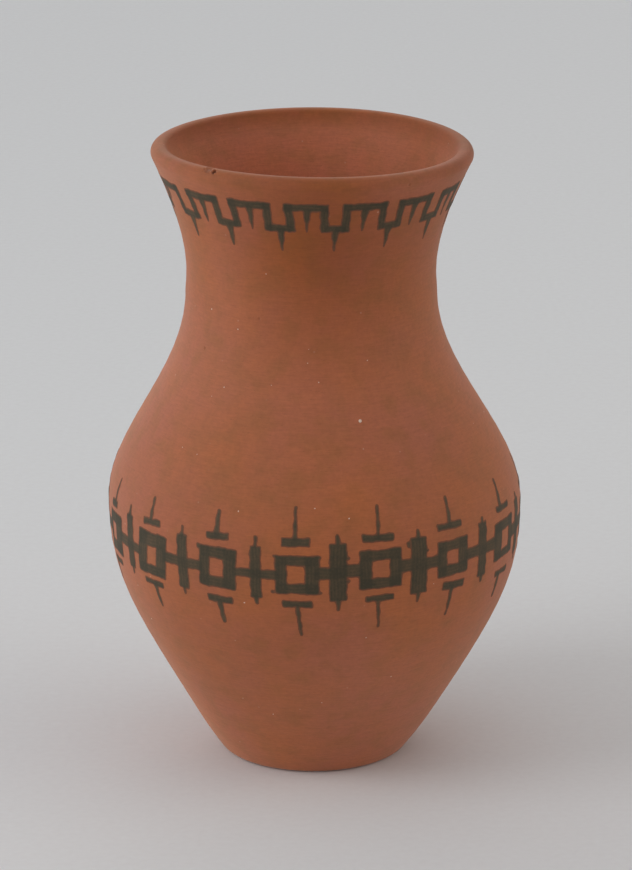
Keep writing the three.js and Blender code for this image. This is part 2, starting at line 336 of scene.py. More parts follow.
def makeSlip():
    look = slipLook
    material, tree, place = newMaterial("brushedSlip")
    line = addNoise(tree, place, look["brushLine"], 2.0)
    both = calculate(tree, "ADD", addNoise(tree, place, look["cloud"], 4.0), line)
    uneven = mapRange(tree, both, *look["unevenSpan"], -look["uneven"], look["uneven"])
    cover = calculate(tree, "ADD", readMark(tree, "slipLoad"), uneven, clamp=True)
    body = mixColours(tree, cover, look["thin"], look["full"])
    edge = mapRange(tree, readMark(tree, "slipDepth"), 0.0, look["edge"], way="SMOOTHSTEP")
    faded = mixColours(tree, edge, look["bare"], body)
    bump = addBump(tree, line, look["lineHeight"])
    finishMaterial(tree, look, {"Base Color": faded, "Normal": bump})
    return material


terracotta, burntLime, brushedSlip = makeTerracotta(), makeLime(), makeSlip()
print("materials: terracotta, lime and slip")


# The clay, spun from its outline as on the wheel
clayMarks = {
    # painted light and shade: the shoulder and the inside are drawn paler and the neck and the lip's top darker, to
    # stand in for how the light falls on them
    "toneAndShade": (  # tone by level, outside and then inside, with painted light and shade
        (0, 1.02), (24, 1.01), (60, 0.97), (125, 1.06), (149, 1.1),
        (169, 1.02), (192, 0.91), (205, 0.87), (227.5, 0.9), (229.5, 0.85),
    ),
    "insideToneAndShade": ((0, 1.26), (190, 1.36), (215, 1.35), (230, 1.12)),
    "lipBlend": (221, 229.8),  # levels between which the inside's tone turns into the outside's
    # some are the kiln's; the pale one at the left of the neck is a painted highlight, the dark ones at the neck's
    # front, on the right and at the left edge are painted shade, and those on the lip paint its light and shade
    "cloudsAndShade": (  # angle, level, reach round and up in millimetres, and how much darker or paler
        (3, 205, 15, 30, -0.12), (-40, 200, 13, 40, 0.12), (36, 226, 15, 6, 0.12), (66, 226, 9, 6, -0.06),
        (92, 226, 12, 7, -0.16), (-59, 226, 12, 7, 0.06), (118, 212, 20, 25, -0.2), (-74, 110, 16, 60, -0.04),
        (-45, 45, 22, 34, -0.11), (18, 48, 24, 34, 0.1), (150, 120, 30, 40, 0.06), (-140, 80, 26, 30, -0.08),
    ),
    "chip": (-37.5, 62, 1.4, 1.0), "dent": (-40.5, 75, 2.4, 0.5),  # angle, place on the lip's arc, radius, depth
    "pits": (  # angle, level, radius, depth
        (-23.8, 175.4, 0.8, 0.25), (-53.0, 161.0, 0.7, 0.3), (36.0, 226.3, 0.8, 0.25),
    ),
    "finerRound": 1.6, "cuts": 5,  # how far past a hollow the mesh is cut finer, and by how many cuts
    "ragged": 0.25, "flatShare": 0.25, "shadePerDepth": 0.7,  # a hollow's uneven rim, flat middle and painted shade per depth
}


def evenly(points, step):  # the same line with points a step apart
    points = np.array(points, float)
    run = np.concatenate([[0], np.cumsum(np.linalg.norm(np.diff(points, axis=0), axis=1))])
    count = max(1, round(run[-1] / step))
    marks = np.linspace(0, run[-1], count + 1)
    return np.stack([np.interp(marks, run, points[:, i]) for i in (0, 1)], 1)


def arc(centre, radius, start, end, count):
    turn = np.radians(np.linspace(start, end, count))
    return np.stack([centre[0] + radius * np.cos(turn), centre[1] + radius * np.sin(turn)], 1)


def lipTurn():  # round outside, with a tighter edge inside, where the thumb pressed it
    turn = np.radians(np.linspace(-pot["lipFlare"], 180 - pot["lipFlare"], pot["lipSteps"]))
    power = np.where(turn > math.pi / 2, 2 / pot["lipEdge"], 1.0)
    across = np.sign(np.cos(turn)) * np.abs(np.cos(turn)) ** power
    up = np.sign(np.sin(turn)) * np.abs(np.sin(turn)) ** power
    return np.stack([lipCentre[0] + lipRadius * across, lipCentre[1] + lipRadius * up], 1)


def clayOutline():
    lipLevel, taper = outerFace[-1, 1], pot["lipThickness"] - pot["footWallThickness"]
    flatRadius = pot["footRadius"] - footReach
    bend = pot["footRounding"]
    rounding = arc((flatRadius, bend), bend, -90, -pot["footLean"], pot["roundingSteps"])
    rounding[:, 0] -= pot["footTuck"] * np.clip(1 - rounding[:, 1] / pot["footTuckLevel"], 0, 1) ** 2
    thickness = pot["footWallThickness"] + taper * outerFace[:, 1] / lipLevel
    inner = outerFace - np.stack([outerWays[:, 1], -outerWays[:, 0]], 1) * thickness[:, None]
    inner = inner[inner[:, 1] > pot["floorThickness"] + pot["floorCorner"]][::-1]
    cornerTop = inner[-1]
    cornerFoot = np.array([cornerTop[0] - pot["floorCorner"], pot["floorThickness"]])
    cornerHandle = np.array([cornerTop[0] - pot["floorCorner"] / 2, pot["floorThickness"]])
    share = np.linspace(0, 1, pot["cornerSteps"])[:, None]
    corner = (1 - share) ** 2 * cornerTop + 2 * share * (1 - share) * cornerHandle + share**2 * cornerFoot
    return np.concatenate([
        evenly([(0, 0), rounding[0]], pot["floorStep"]),
        rounding[1:],
        evenly(outerFace, pot["wallStep"])[1:],
        lipTurn()[1:],
        evenly(inner, pot["innerStep"])[1:],
        evenly(corner, pot["wallStep"])[1:],
        evenly([cornerFoot, (0, pot["floorThickness"])], pot["floorStep"])[1:],
    ])


def spinClay():
    outline = clayOutline() * mm
    deselectAll()
    bpy.ops.mesh.primitive_plane_add(size=1 * mm, location=(0, 0, 0))
    body = bpy.context.object
    body.name = body.data.name = "clayBody"
    bpy.ops.object.mode_set(mode="EDIT")
    bpy.ops.mesh.select_all(action="SELECT")
    bpy.ops.mesh.merge(type="CENTER")  # one point, from which the outline is drawn
    for here, there in zip(outline[:-1], outline[1:]):
        way = (there[0] - here[0], 0, there[1] - here[1])
        bpy.ops.mesh.extrude_region_move(TRANSFORM_OT_translate={"value": way})
    bpy.ops.mesh.select_all(action="SELECT")
    bpy.ops.mesh.spin(steps=pot["stepsRound"], angle=2 * math.pi, center=(0, 0, 0), axis=(0, 0, 1))
    bpy.ops.mesh.select_all(action="SELECT")
    bpy.ops.mesh.remove_doubles(threshold=weldReach)
    bpy.ops.mesh.normals_make_consistent(inside=False)
    bpy.ops.object.mode_set(mode="OBJECT")
    return body


clayBody = spinClay()
print("clay body spun:", len(clayBody.data.vertices), "points")


def pressHollows(body):
    # each chip or pit: the faces round it are cut finer, and its points pushed in along the way that the wall faces
    places = []
    for angle, arcPlace, radius, depth in (clayMarks["chip"], clayMarks["dent"]):
        turn, side = math.radians(angle), math.radians(arcPlace)
        out, up = lipCentre[0] + lipRadius * math.cos(side), lipCentre[1] + lipRadius * math.sin(side)
        inward = -np.array([math.cos(side) * math.sin(turn), -math.cos(side) * math.cos(turn), math.sin(side)])
        places.append((np.array([out * math.sin(turn), -out * math.cos(turn), up]) * mm, inward, radius, depth))
    for angle, level, radius, depth in clayMarks["pits"]:
        surface, deeper = (wheelPoints(np.array(angle), np.array(level), lift) for lift in (0.0, -1.0))
        places.append((surface, (deeper - surface) / mm, radius, depth))

    for centre, _, radius, _ in places:
        near = np.linalg.norm(readPoints(body) - centre, axis=1) < (radius + clayMarks["finerRound"]) * mm
        selectPoints(body, near)
        bpy.ops.mesh.subdivide(number_cuts=clayMarks["cuts"])
        bpy.ops.object.mode_set(mode="OBJECT")
    points = readPoints(body)
    hollow = np.zeros(len(points))
    for centre, inward, radius, depth in places:
        away = np.linalg.norm(points - centre, axis=1) / mm
        ragged = 1 + clayMarks["ragged"] * np.sin(points[:, 0] * 5100 + 1) * np.sin(points[:, 2] * 4300)
        share = 1 - smoothStep(clayMarks["flatShare"], 1.0, away / (radius * ragged))
        points += share[:, None] * depth * inward * mm
        # painted shade, darker with the hollow's depth
        hollow = np.maximum(hollow, share * min(1, depth * clayMarks["shadePerDepth"]))
    writePoints(body, points)
    writeAttribute(body, "hollow", hollow)


limeGrains = {
    "seen": (  # angle, level and width of the crumbs that show on the front
        (0.3, 114.5, 0.8), (9.8, 111, 0.7), (-21.8, 112.1, 0.7), (-19.8, 78.9, 0.7), (-60.6, 60, 0.8),
        (34.2, 83.3, 0.7), (14.7, 65.1, 0.7), (17.6, 141.6, 1.9), (-20, 192.3, 0.7), (-40.2, 127.6, 0.8),
        (-51, 175.5, 0.7), (-34.6, 170.6, 0.7), (-1.2, 165.8, 0.6), (-1.7, 161, 0.6), (2.8, 154.6, 0.6),
        (-16.5, 153.1, 0.6), (24.4, 160.9, 0.6), (-37.3, 150.2, 0.7), (-42, 146.4, 0.6), (59.4, 42.1, 0.7),
        (26.2, 45.4, 0.7), (2.3, 35.7, 0.6),
    ),
    "others": 60, "widths": (0.45, 0.85), "levels": (14, 214), "seed": 11,
    "frontHalf": 75, "frontChance": 0.15,  # few of the others fall within this angle of the front
    "buried": 0.6, "fullness": 0.52,  # the share of a crumb's radius in the wall, and its radius by its width
    "fineFrom": 1.0,  # wider crumbs are rounder, with more faces
}


def bedLime(body):  # crumbs of a few faces each, pushed out of round and set into the wall
    chance = random.Random(limeGrains["seed"])
    crumbs = list(limeGrains["seen"])
    while len(crumbs) < len(limeGrains["seen"]) + limeGrains["others"]:
        angle, level = chance.uniform(-180, 180), chance.uniform(*limeGrains["levels"])
        if abs(angle) > limeGrains["frontHalf"] or chance.random() < limeGrains["frontChance"]:
            crumbs.append((angle, level, chance.uniform(*limeGrains["widths"])))
    deselectAll()
    bpy.ops.mesh.primitive_ico_sphere_add(subdivisions=1, radius=0.01 * mm, location=(0, 0, 5 * mm))
    grains = bpy.context.object
    bpy.ops.object.mode_set(mode="EDIT")
    for angle, level, width in crumbs:
        radius = width * limeGrains["fullness"]
        rounds = 1 if width < limeGrains["fineFrom"] else 2
        at = wheelPoints(np.array(angle), np.array(level), -limeGrains["buried"] * radius)
        bpy.ops.mesh.select_all(action="DESELECT")
        bpy.ops.mesh.primitive_ico_sphere_add(subdivisions=rounds, radius=radius * mm, location=(0, 0, 0))
        squash = [chance.uniform(0.75, 1.2) for _ in range(3)]
        bpy.ops.transform.resize(value=squash, center_override=(0, 0, 0))
        bpy.ops.transform.translate(value=tuple(at))
    bpy.ops.object.mode_set(mode="OBJECT")
    grains.data.materials.append(burntLime)
    makeActive(body)
    grains.select_set(True)
    bpy.ops.object.join()


def markToneAndShade(body):  # painted light and shade: inside and shoulder paler, neck and lip's top darker, clouds on top
    points = readPoints(body) / mm
    radius = np.hypot(points[:, 0], points[:, 1])
    outer, inner = (np.interp(points[:, 2], *zip(*clayMarks[face])) for face in ("toneAndShade", "insideToneAndShade"))
    outside = smoothStep(-lipRadius, -1, radius - np.interp(points[:, 2], outerFace[:, 1], outerFace[:, 0]))
    outside = np.maximum(outside, smoothStep(*clayMarks["lipBlend"], points[:, 2]))
    tone = inner + (outer - inner) * outside
    angle = np.degrees(np.arctan2(points[:, 0], -points[:, 1]))
    for cloudAngle, level, wide, tall, change in clayMarks["cloudsAndShade"]:
        away = np.radians((angle - cloudAngle + 180) % 360 - 180) * radius / wide
        tone = tone * (1 + change * np.exp(-away**2 - ((points[:, 2] - level) / tall) ** 2))
    writeAttribute(body, "toneAndShade", tone)


pressHollows(clayBody)
markToneAndShade(clayBody)
clayBody.data.materials.append(terracotta)
bedLime(clayBody)
writePoints(clayBody, handThrown(readPoints(clayBody)))
makeActive(clayBody)
bpy.ops.object.shade_smooth()
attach(clayBody, "root")
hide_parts("clay_body")
print("clay body thrown:", len(clayBody.data.polygons), "faces")


# Slip: strokes are drawn flat, as arc by level, cut out of a fine grid, and wrapped on the wall
slipCoat = {
    "lift": 0.04, "body": 0.06, "bodyRun": 0.8, "thickness": 0.06,  # the coat thins to its lift at the edges
    "corner": 0.5, "flow": 0.5,  # rounding of a stroke's corners, and of the inner corners that wet slip fills
    "spread": 0.2,  # how far slip runs past a stroke
    "bristle": 1.25, "dryness": 0.45,  # spacing of the bristles' tracks, and how much slip is missing there
    "bristleSway": 2.9, "strokeTurn": 2.4,  # how fast the tracks sway, and how they differ from stroke to stroke
    "dryInside": (0.2, 0.9), "soakPast": (-0.6, 0.5),  # distances in from the edge, and past it
    "margin": 3, "smoothTo": 40,  # room round the strokes on the grid, and the angle up to which faces are smooth
    "ragged": ((8.7, 0.3, 0.11), (5.2, 1.9, 0.09), (3.1, 0.9, 0.07), (2.1, 2.6, 0.05), (1.4, 1.3, 0.04)),
}


def raggedEdge(x, y, around):  # a hand's unsteadiness, from waves of a length, heading and height
    total = np.zeros_like(x)
    for length, heading, height in slipCoat["ragged"]:
        across = 2 * math.pi / length * math.cos(heading)
        if around:  # whole waves, so that the ring closes
            across = round(across * around / (2 * math.pi)) * 2 * math.pi / around
        total += height * np.sin(across * x + 2 * math.pi / length * math.sin(heading) * y + heading * 5)
    return total


def strokeDistance(x, y, stroke, around):
    # distance to the edge of a straight brush stroke, less than nothing inside it, and the places across and along it
    startX, startY, endX, endY, startWidth, endWidth = stroke[:6]
    offX, offY = x - (startX + endX) / 2, y - (startY + endY) / 2
    if around:
        offX = (offX + around / 2) % around - around / 2
    reach = math.hypot(endX - startX, endY - startY)
    wayX, wayY = (endX - startX) / reach, (endY - startY) / reach
    along, across = offX * wayX + offY * wayY, offY * wayX - offX * wayY
    share = np.clip(along / reach + 0.5, 0, 1)
    half = (startWidth + (endWidth - startWidth) * share) / 2
    corner = np.minimum(slipCoat["corner"], half * 0.9)
    pastSide, pastEnd = np.abs(across) - half + corner, np.abs(along) - reach / 2 + corner
    outside = np.hypot(np.maximum(pastSide, 0), np.maximum(pastEnd, 0))
    return outside + np.minimum(np.maximum(pastSide, pastEnd), 0) - corner, across, along


def coatAt(x, y, strokes, around):  # distance to the painted edge, and how much slip lies there
    distance = np.full_like(x, 50.0)
    missing = np.ones_like(x)
    for count, stroke in enumerate(strokes):
        own, across, along = strokeDistance(x, y, stroke, around)
        near = np.maximum(slipCoat["flow"] - np.abs(own - distance), 0) / slipCoat["flow"]
        distance = np.minimum(own, distance) - near**2 * slipCoat["flow"] / 4
        track = across * 2 * math.pi / slipCoat["bristle"] + count * slipCoat["strokeTurn"]
        track += np.sin(along / slipCoat["bristleSway"] + count)
        parting = 0.5 + 0.5 * np.sin(track)
        load = stroke[6] * (1 - slipCoat["dryness"] * parting * smoothStep(*slipCoat["dryInside"], -own))
        missing *= 1 - load * (1 - smoothStep(*slipCoat["soakPast"], own))
    return distance + raggedEdge(x, y, around) - slipCoat["spread"], 1 - missing


def brushOn(name, node, strokes, perDegree, cell, around=0):
    # strokes as (x, y, x, y, width, width, load) in millimetres, where x is an angle times perDegree
    ends = np.array([s[:4] for s in strokes]).reshape(-1, 2)
    low, high = ends.min(axis=0) - slipCoat["margin"], ends.max(axis=0) + slipCoat["margin"]
    if around:
        low[0], high[0] = 0, around
    wide, tall = high - low
    deselectAll()
    bpy.ops.mesh.primitive_grid_add(x_subdivisions=round(wide / cell), y_subdivisions=round(tall / cell), size=1)
    piece = bpy.context.object
    piece.name = piece.data.name = name
    bpy.ops.object.mode_set(mode="EDIT")
    bpy.ops.mesh.select_all(action="SELECT")
    bpy.ops.transform.resize(value=(wide * mm, tall * mm, 1), center_override=(0, 0, 0))
    bpy.ops.transform.translate(value=((low[0] + wide / 2) * mm, (low[1] + tall / 2) * mm, 0))
    bpy.ops.object.mode_set(mode="OBJECT")

    flat = readPoints(piece) / mm
    distance = coatAt(flat[:, 0], flat[:, 1], strokes, around)[0]
    painted = piece.vertex_groups.new(name="painted")
    for index, share in enumerate(np.clip(0.5 - distance / 2, 0, 1).tolist()):
        if share > 0:
            painted.add([index], share, "REPLACE")
    cut = piece.modifiers.new("cutOut", "MASK")
    cut.vertex_group, cut.threshold, cut.use_smooth = "painted", 0.5, True
    bpy.ops.object.modifier_apply(modifier="cutOut")
    piece.vertex_groups.clear()

    flat = readPoints(piece) / mm
    distance, load = coatAt(flat[:, 0], flat[:, 1], strokes, around)
    writeAttribute(piece, "slipDepth", np.maximum(-distance, 0))
    writeAttribute(piece, "slipLoad", load)
    lift = slipCoat["lift"] + slipCoat["body"] * smoothStep(0, slipCoat["bodyRun"], -distance)
    writePoints(piece, handThrown(wheelPoints(flat[:, 0] / perDegree, flat[:, 1], lift)))
    bpy.ops.object.mode_set(mode="EDIT")
    bpy.ops.mesh.select_all(action="SELECT")
    bpy.ops.mesh.remove_doubles(threshold=weldReach)
    bpy.ops.object.mode_set(mode="OBJECT")
    coat = piece.modifiers.new("coat", "SOLIDIFY")
    coat.thickness, coat.offset = slipCoat["thickness"] * mm, -1
    bpy.ops.object.modifier_apply(modifier="coat")
    bpy.ops.object.shade_smooth_by_angle(angle=math.radians(slipCoat["smoothTo"]))
    piece.data.materials.append(brushedSlip)
    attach(piece, "root")
    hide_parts(node)


def unsteadyHand(seed, reach):  # gives another small offset at every call
    chance = random.Random(seed)
    return lambda: chance.uniform(-1, 1) * reach


def levelStroke(start, stop, low, high, load, drop=0):  # a stroke along the band, between two levels
    middle, thick = (low + high) / 2, high - low
    return (start, middle + drop / 2, stop, middle - drop / 2, thick, thick, load)


figures = 16  # of each band, round the pot
pitch = 360 / figures

# The chain: squares with a window and upright crosses, joined by links
chain = {
    "first": -4.5, "perDegree": 1.316, "cell": 0.42, "seed": 5,
    "square": (92, 11.8, 14.3, 0.6), "window": (92, 4.7, 6.6),  # level, width, height and the square's lean
    "cross": (11.25, 4.2, 81.2, 101.6, 78, 104.6),  # angle after its square, width, foot, head and both tips
    "link": (90.0, 94.0), "tipWidth": 1.3, "tipEnd": 0.8, "unsteady": 0.4,
    "overlap": 1.5, "barInset": (0.5, 0.4),  # links run into the squares, whose bars end short of their corners
    "load": {"side": 0.85, "bar": 0.8, "cross": 0.9, "tip": 0.7, "link": 0.75, "tag": 0.6},
    "tags": (  # stray marks of the brush's corners: angle and level of both ends, and width
        (-8.5, 97.6, -11.4, 97.9, 1.1), (0.2, 97.2, 1.6, 97.9, 1.3), (0, 84.3, 1.8, 84.1, 1.1),
        (8, 97.2, 9.4, 97.1, 1.0), (8, 88.4, 9.3, 88.5, 1.2), (26.2, 101.0, 26.3, 98.6, 1.6),
        (-33, 97.5, -33.3, 99.1, 1.6), (-12, 84.6, -11.2, 84.2, 1.1), (31.5, 96.5, 32.4, 96.6, 1.1),
        (-39.5, 101, -37.2, 100.6, 1.2), (52, 81.2, 51, 81.3, 1.5), (104, 97.3, 106, 97.5, 1.1),
        (150, 88, 151.5, 88.2, 1.2), (-120, 84.5, -118.2, 84.3, 1.1), (-165, 97.6, -167, 97.8, 1.1),
    ),
    # by figure: the square's angle, level, width, height and lean, its window's angle, level, width and height,
    # its right-hand cross's angle, width, foot, head and tips, and the levels of the links on both sides of the cross
    "seen": {
        12: (-97, 89.5, 12, 15, 0, -97, 89.5, 4.5, 6.8, -86.5, 3.5, 80.5, 100.5, 78, 104, 88, 92, 88, 92),
        13: (-73.6, 89.2, 10.8, 15.2, 0.9, -75.2, 89.2, 3.6, 6.6,
             -62, 3.5, 80.3, 100.5, 78, 104, 87.5, 91.5, 87.3, 90.7),
        14: (-51.2, 89.6, 12.2, 16.5, 1.4, -51.2, 88.8, 4, 7,
             -38.8, 3.5, 80.3, 100.7, 78, 104, 88.5, 92.5, 88.6, 92.6),
        15: (-27.4, 91.15, 11.3, 15.3, 0.7, -27.7, 91.1, 4.2, 6.8,
             -16.2, 3.1, 81.5, 101, 78.8, 104.5, 89, 92.3, 89, 92.5),
        0: (-4.8, 91, 12, 14.4, 0, -5.1, 91.1, 4.8, 6.8, 6.3, 4.8, 81, 102.5, 77.3, 105.8, 89.5, 94, 90, 94.8),
        1: (18, 92.25, 12, 14.5, 0, 18, 92.25, 5, 6.5, 29.3, 5, 80.8, 102, 77.3, 105, 90, 94.7, 89.5, 94),
        2: (40.8, 91.75, 11, 13.5, 0, 40.6, 91.9, 4.2, 5.2, 52.9, 3.7, 80.5, 101, 78, 103, 89, 93.2, 88.5, 93),
        3: (65, 90.6, 12, 14.4, 0, 65.75, 90.2, 4.5, 7.3, 76, 4, 80.5, 101, 78, 103.5, 88.5, 93, 89, 93.3),
        4: (88.5, 90.5, 12, 14.4, 0, 88.5, 90.5, 4.5, 6.8, 98.5, 4, 81, 101, 78, 104, 89, 93, 89, 93),
    },
}


def chainFigure(number):
    if number in chain["seen"]:
        return chain["seen"][number]
    off = unsteadyHand(chain["seed"] * 100 + number, chain["unsteady"])
    angle = chain["first"] + pitch * number
    level, width, height, lean = chain["square"]
    windowLevel, windowWidth, windowHeight = chain["window"]
    crossOn, crossWidth, foot, head, lowTip, highTip = chain["cross"]
    low, high = chain["link"]
    return (angle + off(), level + off(), width + off(), height + off(), lean * 2 * off(),
            angle + off(), windowLevel + off(), windowWidth + off(), windowHeight + off(),
            angle + crossOn + off(), crossWidth + off(), foot + off(), head + off(), lowTip + off(), highTip + off(),
            low + off(), high + off(), low + off(), high + off())


def chainStrokes():
    scale, around, load = chain["perDegree"], 360 * chain["perDegree"], chain["load"]
    tipWidth, tipEnd, overlap = chain["tipWidth"] * scale, chain["tipEnd"] * scale, chain["overlap"]
    strokes = []
    for number in range(figures):
        (angle, level, width, height, lean, winAngle, winLevel, winWidth, winHeight,
         cross, crossWidth, foot, head, lowTip, highTip, low, high, nextLow, nextHigh) = chainFigure(number)
        left, right, bottom, top = angle - width / 2, angle + width / 2, level - height / 2, level + height / 2
        winLeft, winRight = winAngle - winWidth / 2, winAngle + winWidth / 2
        winBottom, winTop = winLevel - winHeight / 2, winLevel + winHeight / 2
        following = chainFigure((number + 1) % figures)
        nextLeft = (following[0] - following[2] / 2 - cross) % 360 + cross
        for start, end in ((left, winLeft), (winRight, right)):
            middle, thick = (start + end) / 2 * scale, (end - start) * scale
            slant = lean / 2 * scale
            strokes.append((middle - slant, bottom, middle + slant, top, thick, thick, load["side"]))
        for under, over in ((bottom, winBottom), (winTop, top)):
            slant = lean * ((under + over) / 2 - level) / height * scale
            start, end = left * scale + chain["barInset"][0] + slant, right * scale - chain["barInset"][1] + slant
            strokes.append(levelStroke(start, end, under, over, load["bar"]))
        cross, crossWidth = cross * scale, crossWidth * scale
        strokes.append((cross, foot, cross, head, crossWidth, crossWidth, load["cross"]))
        strokes.append((cross, head - 1, cross, highTip, tipWidth, tipEnd, load["tip"]))
        strokes.append((cross, foot + 1, cross, lowTip, tipWidth, tipEnd, load["tip"]))
        strokes.append(levelStroke(right * scale - overlap, cross, low, high, load["link"]))
        strokes.append(levelStroke(cross, nextLeft * scale + overlap, nextLow, nextHigh, load["link"]))
    for startAngle, startLevel, endAngle, endLevel, width in chain["tags"]:
        strokes.append((startAngle * scale, startLevel, endAngle * scale, endLevel, width, width * 0.7, load["tag"]))
    return strokes, around


strokes, around = chainStrokes()
brushOn("bellyChain", "belly_chain", strokes, chain["perDegree"], chain["cell"], around)
print("belly chain brushed on")

# The tees: a bar above or below each square, with a stem that points away from it
tees = {
    "cell": 0.4, "seed": 8, "unsteady": 0.35, "barLoad": 0.85, "stemLoad": 0.6,
    "stemStart": 1.1, "stemEnd": 0.6,  # the stem's width at its foot and end, by the width given below
    "upper": (4.1, 101.8, 104.3, 113.3, 1.2),  # half the bar's angle, its levels, the stem's end and width
    "lower": (4.1, 78.4, 80.8, 69.0, 1.3),
    # by figure: the bar's two angles, its levels and how much its right end drops,
    # the stem's angles at its foot and end, its end's level and its width
    "upperSeen": {
        13: (-76.5, -71.5, 98.8, 101.4, 0, -73.5, -72.5, 110, 1.3),
        14: (-54.5, -47.3, 100.5, 102.9, -0.9, -51.3, -51.3, 110.5, 1.3),
        15: (-30.8, -23.8, 101.5, 104.1, -0.6, -27.6, -27.6, 112, 1.5),
        0: (-9, -1.2, 101.5, 104.6, 0, -5.2, -5.2, 115.2, 1.3),
        1: (13, 22, 102.4, 105, 0.4, 17.5, 18.2, 114.6, 1.0),
        2: (35.6, 44.3, 102.5, 104.9, 0, 40, 40.6, 113.8, 1.1),
        3: (60.6, 68.4, 101.4, 103.5, 0.2, 63.2, 64, 113, 1.5),
        4: (84.5, 92, 101.3, 103.8, 0, 88.5, 89, 112.5, 1.2),
    },
    "lowerSeen": {
        13: (-79, -71, 76.9, 79.1, 0, -77, -77.5, 69.5, 1.2),
        14: (-55.5, -47.3, 77.3, 79.5, 0, -51, -49.8, 69.2, 1.5),
        15: (-31, -23.3, 77.7, 80.4, 0, -27.3, -26.6, 69.5, 1.6),
        0: (-9, -0.8, 78.5, 81, 0, -5, -4, 67, 1.3),
        1: (13.8, 22, 80, 82.3, 0, 17.2, 18, 69.2, 1.1),
        2: (37.3, 45.3, 79.5, 82.5, 0.6, 40.8, 40, 69.2, 1.1),
        3: (61, 69, 76.5, 78.7, 0, 63.5, 62.7, 68.4, 1.5),
        4: (84.5, 92, 78, 80.3, 0, 88, 88.5, 69.5, 1.2),
    },
}


def teeStrokes(side, number):
    off = unsteadyHand(tees["seed"] * 1000 + number + (500 if side == "upper" else 0), tees["unsteady"])
    angle = chain["first"] + pitch * number
    half, low, high, end, width = tees[side]
    usual = (angle - half + off(), angle + half + off(), low + off(), high + off() * 0.5, off(),
             angle + off(), angle + 2 * off(), end + 2 * off(), width)
    start, stop, low, high, drop, stemFoot, stemTop, end, width = tees[side + "Seen"].get(number, usual)
    scale = chain["perDegree"]
    return [
        levelStroke(start * scale, stop * scale, low, high, tees["barLoad"], drop),
        (stemFoot * scale, (low + high) / 2, stemTop * scale, end,
         width * tees["stemStart"] * scale, width * tees["stemEnd"] * scale, tees["stemLoad"]),
    ]


for number in range(figures):
    for side in ("upper", "lower"):
        name = f"{side}Tee{number + 1:02d}"
        brushOn(name, f"{side}_tee_{number + 1:02d}", teeStrokes(side, number), chain["perDegree"], tees["cell"])
print("tees brushed on")

# The meander: upper and lower bars joined by uprights, with a spike hanging from the middle of each bar
meander = {
    "first": -2.1, "perDegree": 0.923, "cell": 0.36, "seed": 3, "unsteady": 0.35,
    "bar": (217.7, 220.5), "foot": (209.4, 212.1), "spikeEnd": 202,  # levels of the bars and of the lower spike's end
    "halfTop": 8.5, "inset": 1.6, "upright": 3.2,  # angles
    "innerSpike": (3.5, 0.5), "outerSpike": (3.7, 0.5),  # angles across at the root and the end
    "load": {"bar": 0.8, "upright": 0.85, "spike": 0.7},
    # by figure: the upper bar's two angles, the uprights' angles at their feet, the inner spike's angle and end,
    # and the angle and end of the spike that hangs from the lower bar on its right
    "seen": {
        13: (-78.0, -60.5, -75.0, -60.0, -72.4, 213.0, -55.5, 202.2),
        14: (-54.5, -37.3, -51.0, -38.4, -45.5, 209.4, -34.0, 202),
        15: (-32.8, -15.3, -30.1, -16.9, -23.7, 209.4, -12.0, 202),
        0: (-10.5, 6.2, -7.8, 5.4, -1.8, 209.4, 9.5, 202),
        1: (11.7, 29.0, 13.4, 28.6, 20.3, 209.4, 32.0, 202),
        2: (34.0, 51.5, 36.4, 50.1, 42.6, 209.4, 55.2, 202),
        3: (57.0, 73.0, 58.9, 71.8, 64.8, 209.4, 77.0, 202),
    },
}


def meanderFigure(number):
    if number in meander["seen"]:
        return meander["seen"][number]
    off = unsteadyHand(meander["seed"] * 100 + number, meander["unsteady"])
    angle, half, inset = meander["first"] + pitch * number, meander["halfTop"], meander["inset"]
    return (angle - half + off(), angle + half + off(),
            angle - half + inset + 2 * off(), angle + half - inset + 2 * off(),
            angle + off(), meander["foot"][0] + off(), angle + pitch / 2 + off(), meander["spikeEnd"] + off())


def meanderStrokes():
    scale, around, load = meander["perDegree"], 360 * meander["perDegree"], meander["load"]
    bar, lower = meander["bar"], meander["foot"]
    upright, inset = meander["upright"] * scale, meander["inset"]
    innerRoot, innerTip = (angle * scale for angle in meander["innerSpike"])
    outerRoot, outerTip = (angle * scale for angle in meander["outerSpike"])
    strokes = []
    for number in range(figures):
        start, stop, leftFoot, rightFoot, inner, innerEnd, outer, outerEnd = meanderFigure(number)
        following = meanderFigure((number + 1) % figures)
        nextFoot = (following[2] - rightFoot) % 360 + rightFoot
        strokes.append(levelStroke(start * scale, stop * scale, *bar, load["bar"]))
        for top, foot in ((start + inset, leftFoot), (stop - inset, rightFoot)):
            strokes.append((top * scale, bar[1], foot * scale, lower[0], upright, upright, load["upright"]))
        strokes.append((inner * scale, sum(bar) / 2, inner * scale, innerEnd, innerRoot, innerTip, load["spike"]))
        strokes.append(levelStroke(rightFoot * scale, nextFoot * scale, *lower, load["bar"]))
        strokes.append((outer * scale, sum(lower) / 2, outer * scale, outerEnd, outerRoot, outerTip, load["spike"]))
    return strokes, around


strokes, around = meanderStrokes()
brushOn("rimMeander", "rim_meander", strokes, meander["perDegree"], meander["cell"], around)
print("rim meander brushed on")


# Seamless paper on the table: matte pale grey, darker towards the front and right, where the lamps' light falls off
paperLook = {
    "colour": "#eaecee", "shade": "#dddcde", "size": 16,  # metres across
    "shadeWay": (0.75, -0.66, 0), "shadeRun": (-0.15, 0.45),  # its heading, and metres where it starts and ends
    "pulp": 3, "tooth": 0.8,  # paper's tooth is about 0.2 mm and is drawn coarser, so that it shows
    "toothHeight": 0.03, "roughness": 0.9, "specular": 0.2,
}


